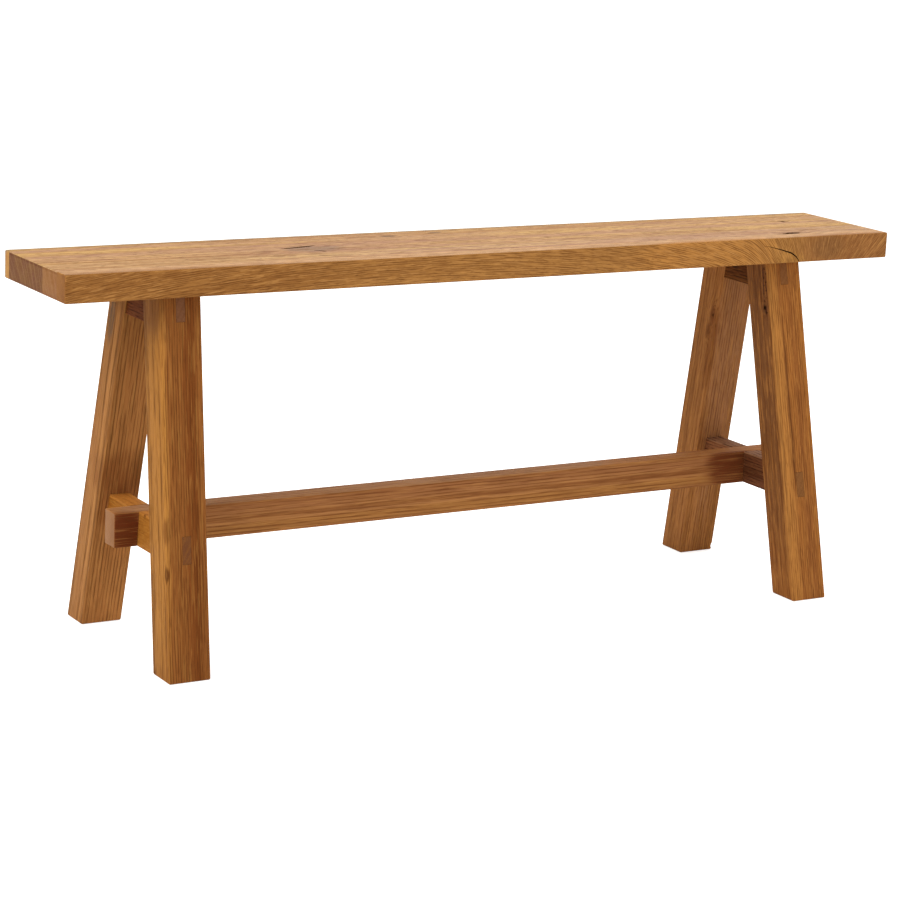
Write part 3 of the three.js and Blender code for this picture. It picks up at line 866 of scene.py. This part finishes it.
# %% Cracks and knot holes in the seat
# Each crack gives its points, its width and depth at each of them, and the way into the wood.
DOWN, BACKWARDS = (0, 0, -1), (0, 1, 0)
seat_cracks = {
    "seat_strip_front": [
        ([(376, -90, 457.4), (384, -90, 456.4), (404, -90, 451.4), (420, -90, 446.6), (428, -90, 441.5),
          (433, -90, 435.5), (434.5, -90, 430)],
         (0.3, 0.5, 1.4, 1.9, 1.9, 1.5, 0.9), (1, 3, 6, 8, 9, 9, 9), BACKWARDS),
    ],
    "seat_board_wide": [
        ([(-264, 4.5, 467), (-249, 8, 467), (-234, 11, 467), (-220, 15, 467), (-209, 18.5, 467)],
         (1, 4.2, 5, 4.6, 1), (1, 3, 4, 3, 1), DOWN),
        ([(-228, -14, 467), (-222, -20, 467), (-216, -28, 467), (-208, -36, 467)],
         (0.8, 4, 6, 1.5), (1, 3, 3, 1), DOWN),
    ],
}
# Each knot hole gives its place, its three half sizes, how far its corners are shaken, and a seed for that.
seat_knot_holes = {
    "seat_board_narrow": [((442, -61, 467), (11, 4.4, 5), 0.7, 1), ((429, -63, 467), (5, 2, 2), 0.3, 2)],
    "seat_board_wide": [((492, 27, 467), (3, 2, 0.8), 0.2, 3)],
}
print("cracks in", list(seat_cracks), "and knot holes in", list(seat_knot_holes))

# %% Finished seat boards
for name, board in boards.items():
    low, high = box_mm(name)
    place = grain_place((0, (low.y + high.y) / 2, SEAT_MIDDLE), ALONG_SEAT, ACROSS_SEAT)
    title = "oiled oak, " + name.replace("_", " ")
    finish = oiled_oak(title, place, seat_marks[name], **seat_oak[name])
    for numbers in seat_cracks.get(name, ()):
        carve(board, finish, crack(*numbers))
    for numbers in seat_knot_holes.get(name, ()):
        carve(board, finish, knot_hole(*numbers))
    finish_piece(board, finish, name)

# %% [markdown]
# ## Legs
# Each leg is a nearly square bar that leans two ways. It starts upright at its foot, and its top face is moved
# inwards, so its sole and its top stay level. The long edges are eased by hand, the sole has a small chamfer,
# and the mortises are cut right through for the tenons of both rails.

# %% Shapes that lean with a trestle
LEG_EDGE, LEG_EDGE_STEPS = 2.0, 4
SOLE_CHAMFER, SOLE_CHAMFER_STEPS = 1.5, 2
TENON_HALF = 5.5
TENON_HEIGHT = 31.0
UPPER_TENON = (SEAT_UNDERSIDE - TENON_HEIGHT, SEAT_UNDERSIDE)
lower_rest = (LOWER_RAIL_TOP - LOWER_RAIL_BOTTOM - TENON_HEIGHT) / 2
LOWER_TENON = (LOWER_RAIL_BOTTOM + lower_rest, LOWER_RAIL_TOP - lower_rest)
BEYOND_FEET = 220.0


def leaning_block(name, side, half_x, half_y, bottom, top):
    x = trestle_x(side, bottom)
    piece = block(name, (x - half_x, -half_y, bottom), (x + half_x, half_y, top))
    move_top(piece, (trestle_x(side, top) - x, 0, 0))
    return piece


def tenon_bar(side, bottom, top, gap=0.0):
    return leaning_block("tenon", side, TENON_HALF + gap, BEYOND_FEET, bottom - gap, top + gap)


def leg(name, side, depth):
    x = side * TRESTLE_FOOT_X
    front, back = sorted((depth * LEG_GAP_FLOOR, depth * (LEG_GAP_FLOOR + LEG_DEPTH)))
    piece = block(name, (x - LEG_WIDTH / 2, front, 0), (x + LEG_WIDTH / 2, back, SEAT_UNDERSIDE))
    move_top(piece, (side * (TRESTLE_TOP_X - TRESTLE_FOOT_X), depth * (LEG_GAP_SEAT - LEG_GAP_FLOOR), 0))
    ease(piece, LEG_EDGE, LEG_EDGE_STEPS, lambda a, b: abs(a.z - b.z) > LEG_WIDTH)
    ease(piece, SOLE_CHAMFER, SOLE_CHAMFER_STEPS, lambda a, b: max(a.z, b.z) < NEAR)
    combine(piece, tenon_bar(side, UPPER_TENON[0], UPPER_TENON[1] + LEG_WIDTH, FIT_GAP))
    return combine(piece, tenon_bar(side, *LOWER_TENON, FIT_GAP))


print("tenons from", UPPER_TENON[0], "and from", LOWER_TENON[0], "mm up")

# %% Oak of the legs
leg_oak = {
    ("left", "front"): dict(
        pith=(170, 40), seed=11.0, tones=("#935a2b", "#7a481f", "#4b260f", "#a57138"), wander=3.0, ring_gap=3.1,
        lines=0.5, fine=0.12, glints=0.5, stroke=2.0),
    ("left", "back"): dict(
        pith=(-190, 30), seed=12.0, tones=("#b57b45", "#996536", "#573617", "#c0894c"), wander=3.0, ring_gap=4.0,
        lines=0.6, fine=0.1, stroke=2.5),
    ("right", "front"): dict(
        pith=(160, -60), seed=13.0, tones=("#aa6c33", "#92592c", "#5a3016", "#c08140"), wander=4.0, ring_gap=3.1,
        lines=0.5, fine=0.15, glints=0.5, stroke=1.6),
    ("right", "back"): dict(
        pith=(-150, 60), seed=14.0, tones=("#b27743", "#986335", "#5f3617", "#be8140"), wander=5.0, ring_gap=3.2,
        lines=0.45, stroke=1.6),
}
print("oaks of the legs", list(leg_oak))

# %% Marks on the legs
ALL_UP = 900
leg_marks = {
    ("left", "front"): [
        mark((-458, -80, 240), (300, 9, 34), "#bf833e", 0.8),
        mark((-451, -45, 434), (52, 9, 34), "#83552c", 0.85),
        mark((-424, -112, 240), (400, 10, 26), "#733c18", 0.65),
        mark((-463, -126, 123), (8, 4, 4), "#5e3217", 0.8, bend=2),
        mark((-461, -116, 170), (14, 6, 5), "#6d3d1b", 0.6),
    ],
    ("left", "back"): [
        # Painted light: the front face of this back leg, in the seat's shade, is painted paler in a thin sheet.
        mark((-433.5, 62.2, 217), (ALL_UP, 24, 6), "#b47741", 0.6),
        mark((-452, 61, 388), (34, 7, 8), "#665140", 0.8),
        mark((-450, 38, 424), (30, 9, 30), "#85592f", 0.7),
        mark((-432, 76, 195), (34, 40, 24), "#6a3415", 0.5),
    ],
    ("right", "front"): [
        mark((405, -80, 320), (330, 4, 60), "#694529", 0.75),
        mark((415, -108, 217), (ALL_UP, 9, 8), "#bd8140", 0.6),
        mark((424.5, -103, 250), (120, 2.4, 9), "#6b4020", 0.7),
        mark((428, -115, 190), (60, 2.2, 9), "#6b4020", 0.6),
        mark((400.5, -65, 398), (40, 5, 4.5), "#55301f", 0.85),
        mark((402.4, -66.7, 372), (7, 5, 4), "#3a2014", 0.9, bend=4),
    ],
    ("right", "back"): [
        # Painted light: the front face of this back leg, in the seat's shade, is painted paler in a thin sheet.
        mark((430.2, 46.1, 300), (240, 24, 6), "#b07d56", 0.6),
        mark((402.6, 46.5, 343), (13, 5, 6), "#70401f", 0.7, bend=12),
        mark((403.5, 57, 320), (12, 5, 5), "#70401f", 0.7, bend=10),
        mark((405, 50, 300), (60, 6, 9), "#7a431f", 0.5),
    ],
}
print("marks on the legs", {key: len(marks) for key, marks in leg_marks.items()})

# %% Knot holes in the legs
# A row of pits runs down the right front leg's inner face: the Y, Z and half length of each.
PITS = [(-61.5, 423, 2), (-65.8, 417, 1.4), (-61.8, 411, 2.4), (-66.8, 406, 1.6), (-62.9, 401, 1.2),
        (-67.4, 396, 2.2), (-63.6, 390, 1.5), (-68.4, 386, 1.3), (-64.6, 381, 2)]
PIT_HALF, PIT_SUNK, PIT_SHAKE, PIT_SEED = (0.9, 0.8), 0.3, 0.25, 7


def pit(y, height, half_length):
    face = trestle_x(1, height) - LEG_WIDTH / 2
    return (face + PIT_SUNK, y, height), (*PIT_HALF, half_length), PIT_SHAKE, PIT_SEED


leg_knot_holes = {
    ("right", "front"): [
        ((402.0, -66.5, 373), (2.0, 2.2, 3.2), 0.5, 5),
        ((402.0, -71, 367), (1.6, 1.3, 2.2), 0.4, 6),
        *(pit(*numbers) for numbers in PITS),
    ],
    ("right", "back"): [((402.6, 46.5, 343), (0.9, 1, 2.4), 0.2, 20), ((467.6, 104.8, 7), (3, 2.6, 5.5), 0.4, 21)],
}
print("knot holes in the legs", {key: len(holes) for key, holes in leg_knot_holes.items()})

# %% Four finished legs
SIDES, DEPTHS = {"left": -1, "right": 1}, {"front": -1, "back": 1}
for side_name, side in SIDES.items():
    for depth_name, depth in DEPTHS.items():
        key = (side_name, depth_name)
        node_name = f"leg_{depth_name}_{side_name}"
        piece = leg("oak_" + node_name, side, depth)
        foot = Vector((side * TRESTLE_FOOT_X, depth * (LEG_GAP_FLOOR + LEG_DEPTH / 2), 0))
        up = (-side * TRESTLE_SLOPE, -depth * LEG_SLOPE, 1)
        place = grain_place(foot + Vector(up) * SEAT_UNDERSIDE / 2, up, (1, 0, 0))
        finish = oiled_oak(f"oiled oak, {depth_name} {side_name} leg", place, leg_marks[key], **leg_oak[key])
        for numbers in leg_knot_holes.get(key, ()):
            carve(piece, finish, knot_hole(*numbers))
        finish_piece(piece, finish, node_name)

# %% [markdown]
# ## Rails and stretcher
# A rail is a bar between the legs with a tenon at each end that comes out flush with the leg's outer face. Its
# shoulders follow the lean of the legs. The stretcher lies in the lower rails by half laps: the rail is cut away
# above and the stretcher below, so their tops are level. Bolts go up through each upper rail into the seat, and a
# screw goes up through each half lap.

# %% Shape of a rail
RAIL_EDGE, RAIL_EDGE_STEPS = 1.2, 3
UPPER_RAIL_HALF, LOWER_RAIL_HALF = 24.0, 12.5
LAP_HEIGHT = (LOWER_RAIL_BOTTOM + LOWER_RAIL_TOP) / 2
LEG_FACE = Vector((0, 1, LEG_SLOPE)).normalized()


def between_legs(piece, widening):
    for depth in DEPTHS.values():
        trim(piece, (0, depth * (LEG_GAP_FLOOR + widening), 0), (0, depth * LEG_FACE.y, LEG_FACE.z))
    return piece


def rail(side, half, bottom, top, tenon):
    body = leaning_block("rail", side, half, BEYOND_FEET, bottom, top)
    ease(body, RAIL_EDGE, RAIL_EDGE_STEPS, lambda a, b: abs(a.y - b.y) > BEYOND_FEET)
    between_legs(body, -FIT_GAP)
    return combine(body, between_legs(tenon_bar(side, *tenon), LEG_DEPTH), "UNION")


print("half laps meet", LAP_HEIGHT, "mm up")

# %% Holes for the fastenings
BOLT_HOLE, COUNTERBORE, COUNTERBORE_DEPTH = 3.3, 7.0, 10.0
SCREW_HEAD_HOLE, SCREW_HOLE = 4.3, 2.3
SCREW_SUNK, SCREW_LENGTH = 0.5, 34.0


def bolt_holes(piece, side):
    for y in (-BOLT_Y, BOLT_Y):
        x = trestle_x(side, SEAT_UNDERSIDE)
        low = UPPER_RAIL_BOTTOM - BEYOND
        combine(piece, round_bar(BOLT_HOLE, low, SEAT_UNDERSIDE + BEYOND, x, y))
        combine(piece, round_bar(COUNTERBORE, low, UPPER_RAIL_BOTTOM + COUNTERBORE_DEPTH, x, y))


def screw_hole(side):
    x = trestle_x(side, LAP_HEIGHT)
    low, head = LOWER_RAIL_BOTTOM - BEYOND, LOWER_RAIL_BOTTOM + SCREW_SUNK
    hole = round_bar(SCREW_HOLE, low, head + SCREW_LENGTH + FIT_GAP, x, 0)
    combine(hole, round_bar(SCREW_HEAD_HOLE, low, head, x, 0), "UNION")
    depth = SCREW_HEAD_HOLE - SCREW_HOLE
    bpy.ops.object.select_all(action="DESELECT")
    bpy.ops.mesh.primitive_cone_add(vertices=ROUND_SIDES, radius1=SCREW_HEAD_HOLE * MM, radius2=SCREW_HOLE * MM,
                                    depth=depth * MM, location=Vector((x, 0, head + depth / 2)) * MM)
    return combine(hole, settle(bpy.context.object, "countersink"), "UNION")


print("bolt holes at y", -BOLT_Y, "and", BOLT_Y)

# %% Oak of the rails
rail_oak = {
    "upper_rail_left": dict(
        tones=("#6e3812", "#5c2c0b", "#341604", "#80481a"), seed=21.0, end_tone="#82583c"),
    "upper_rail_right": dict(
        tones=("#704119", "#5c3010", "#2c1505", "#82501f"), seed=22.0, end_tone="#8a5a34"),
    "lower_rail_left": dict(
        tones=("#a96d2b", "#965c21", "#613512", "#ba7f37"), seed=23.0, end_tone="#633c28", lines=0.2, fine=0.1),
    "lower_rail_right": dict(
        tones=("#75462c", "#5b331d", "#30160a", "#815334"), seed=24.0, end_tone="#895a30"),
}
rail_marks = {
    "upper_rail_right": [mark((401, 4, 420), (9, 6, 8), "#2c1508", 0.8)],
    "lower_rail_right": [
        mark((423.6, 44, 152), (34, 9, 60), "#9a6440", 0.9),
        mark((435, 0, LOWER_RAIL_TOP), (ALL_ALONG, 60, 1.8), "#9b7153", 0.85, clean=True),
    ],
    "lower_rail_left": [
        # Painted light: the top face of this rail is painted paler, as light from above falls on it.
        mark((-435, 0, LOWER_RAIL_TOP), (ALL_ALONG, 60, 3), "#bc7a36", 0.75),
        mark((-448, -30.6, 167), (3, 5, 3), "#5d3415", 0.7),
    ],
}
print("oaks of the rails", list(rail_oak))

# %% Four finished rails
# The middle of the grain in an upper rail
UPPER_GRAIN_HEIGHT = UPPER_RAIL_BOTTOM + 20
for side_name, side in SIDES.items():
    upper = rail(side, UPPER_RAIL_HALF, UPPER_RAIL_BOTTOM, SEAT_UNDERSIDE, UPPER_TENON)
    bolt_holes(upper, side)
    lower = rail(side, LOWER_RAIL_HALF, LOWER_RAIL_BOTTOM, LOWER_RAIL_TOP, LOWER_TENON)
    lap = leaning_block("lap", side, LEG_WIDTH, STRETCHER_HALF + FIT_GAP, LAP_HEIGHT, LOWER_RAIL_TOP + BEYOND)
    combine(lower, lap)
    combine(lower, screw_hole(side))
    for piece, kind, height in ((upper, "upper", UPPER_GRAIN_HEIGHT), (lower, "lower", LAP_HEIGHT)):
        node_name = f"{kind}_rail_{side_name}"
        piece.name = piece.data.name = "oak_" + node_name
        place = grain_place((trestle_x(side, height), 0, height), (0, 1, 0), (-1, 0, 0))
        finish = oiled_oak(f"oiled oak, {kind} {side_name} rail", place, rail_marks.get(node_name, ()),
                           pith=(60, -90), end_share=0.85, wander=3.0, **rail_oak[node_name])
        finish_piece(piece, finish, node_name)

# %% Stretcher
STRETCHER_EDGE, STRETCHER_EDGE_STEPS = 1.5, 3
stretcher = block("oak_stretcher", (-STRETCHER_END, -STRETCHER_HALF, LOWER_RAIL_BOTTOM),
                  (STRETCHER_END, STRETCHER_HALF, LOWER_RAIL_TOP))
ease(stretcher, STRETCHER_EDGE, STRETCHER_EDGE_STEPS, lambda a, b: True)
for side in SIDES.values():
    combine(stretcher, leaning_block("lap", side, LOWER_RAIL_HALF + FIT_GAP, 2 * STRETCHER_HALF,
                                     LOWER_RAIL_BOTTOM - BEYOND, LAP_HEIGHT))
    combine(stretcher, screw_hole(side))
stretcher_oak = dict(
    pith=(-110, -140), tones=("#b47c4a", "#996337", "#65361b", "#bd8449"), seed=31.0, wander=2.5, ripple=0.2,
    lines=0.45, fine=0.22, glints=0.35, stroke=3.0, end_tone="#997050", end_share=0.8)
stretcher_marks = [
    mark((60, -14, 159), (900, 12, 7), "#a06a42", 0.6),
    mark((60, -14, 148), (520, 9, 2.6), "#74401f", 0.6),
    mark((100, -14, 136), (900, 9, 6), "#b07a3e", 0.5),
    mark((-464, -14, 148), (24, 16, 26), "#60260f", 0.9),
    mark((385, -14, 155), (26, 7, 8), "#5a2b16", 0.6),
    mark((401, -14, 150), (36, 9, 40), "#6b361c", 0.95),
    mark((-130, 0, LOWER_RAIL_TOP), (350, 60, 1.6), "#a2866b", 0.4, clean=True, inner=0.9, outer=1.05),
]
place = grain_place((0, 0, LAP_HEIGHT), ALONG_SEAT, ACROSS_SEAT)
finish = oiled_oak("oiled oak, stretcher", place, stretcher_marks, **stretcher_oak)
finish_piece(stretcher, finish, "stretcher")

# %% [markdown]
# ## Fastenings
# Bolts, washers and screws are bright zinc-plated steel, and the threaded inserts are turned brass. Their solids
# already have their real shape, so they only get a finish, whose gloss and tone change a little from patch to
# patch, as plating and turning leave them.

# %% Metal finishes
# Both metals keep the default IOR, because their metallic is 1 and their colour is that of the reflection.
PATCH_NOISE = {"From Min": 0.3, "From Max": 0.7}
DULLEST, BRIGHTEST = 0.8, 1.08
GLOSSIER, ROUGHER = 0.08, 0.1


def metal(name, tone, rough, patch_mm):
    material = bpy.data.materials.new(name)
    node = emptied(material)
    where = node("TexCoord").outputs["Object"]
    patches = node("TexNoise", {"Vector": where, "Scale": 1 / (patch_mm * MM), "Detail": 3.0})
    shift = node("MapRange", {"Value": patches, **PATCH_NOISE, "To Min": DULLEST, "To Max": BRIGHTEST})
    colour = node("VectorMath", {0: linear(tone)[:3], 1: shift}, operation="MULTIPLY")
    gloss = node("MapRange", {"Value": patches, **PATCH_NOISE, "To Min": rough - GLOSSIER,
                              "To Max": rough + ROUGHER})
    shader = node("BsdfPrincipled", {"Base Color": colour, "Metallic": 1.0, "Roughness": gloss})
    node("OutputMaterial", {"Surface": shader})
    return material


# Zinc plate is a cool, bright grey with soft reflections. Turned brass is warm, and a little duller.
zinc = metal("zinc-plated steel", "#c3c7cb", 0.3, 1.5)
brass = metal("turned brass", "#c9a250", 0.32, 1.2)
for name, part in nodes.items():
    if "bolt" in name or "washer" in name or "screw" in name or "insert" in name:
        for material_slot in part.material_slots:
            material_slot.material = brass if "insert" in name else zinc
print("metals", zinc.name, brass.name)
